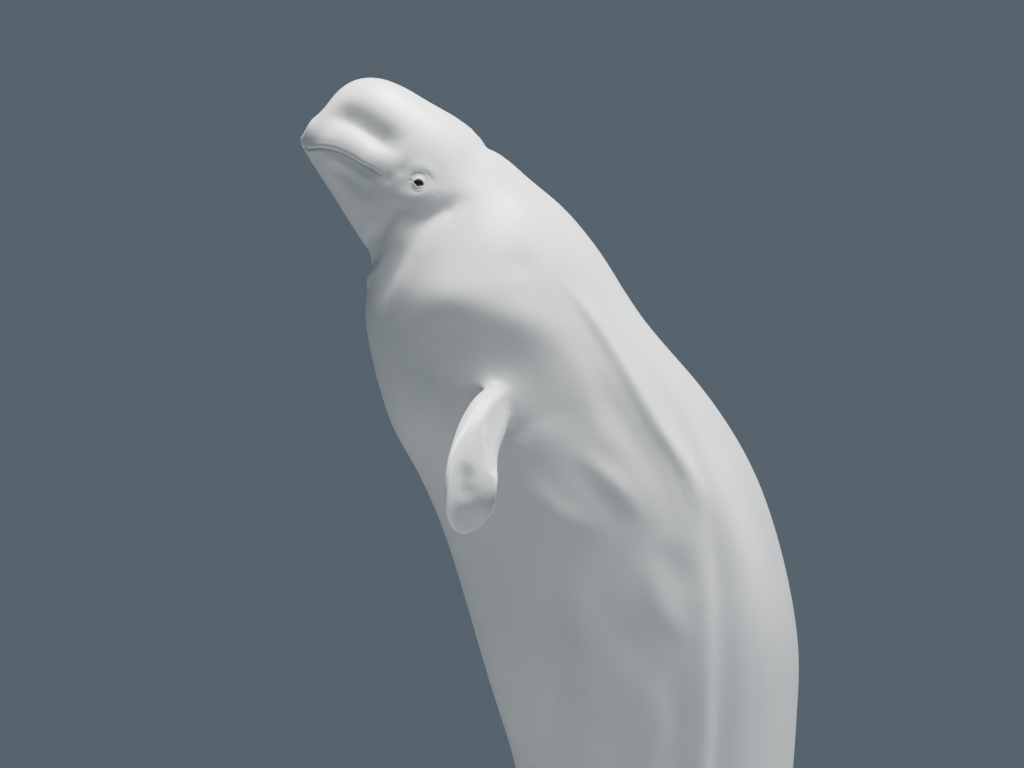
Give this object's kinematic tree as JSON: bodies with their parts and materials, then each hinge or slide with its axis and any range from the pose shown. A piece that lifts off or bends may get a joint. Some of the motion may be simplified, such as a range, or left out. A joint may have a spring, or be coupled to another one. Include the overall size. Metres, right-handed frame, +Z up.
{
  "type": "beluga whale",
  "caption": "Life-size still model of an adult beluga whale, upright with its head bent towards its belly, held on steel rods above a flat display base.",
  "frame": {"origin": "centre of the underside of the stand's base", "axes": "+Z up, which is towards the whale's head; +X towards its back, so the snout points to -X; +Y towards its right side"},
  "size_m": [1.56, 1.2412, 3.913],
  "materials": {
    "skin": "smooth white skin with a soft wet sheen, faint grey mottling, fine creases and a few old scratches",
    "eye": "wet, very dark brown eyeball with a black pupil",
    "base_paint": "satin slate-grey paint, slightly scuffed along its edges",
    "stand_steel": "brushed steel, slightly worn"
  },
  "bodies": {
    "root": {"head": "skin", "lower_jaw": "skin", "neck": "skin", "chest": "skin", "belly": "skin", "loin": "skin", "tail_stock_upper": "skin", "tail_stock_lower": "skin", "fluke_left": "skin", "fluke_right": "skin", "flipper_left": "skin", "flipper_right": "skin", "eye_left": "eye", "eye_right": "eye", "stand_base": "base_paint", "stand_flange_main": "stand_steel", "stand_rod_main": "stand_steel", "stand_saddle_main": "stand_steel", "stand_flange_tail": "stand_steel", "stand_rod_tail": "stand_steel", "stand_saddle_tail": "stand_steel"}
  },
  "joints": []
}
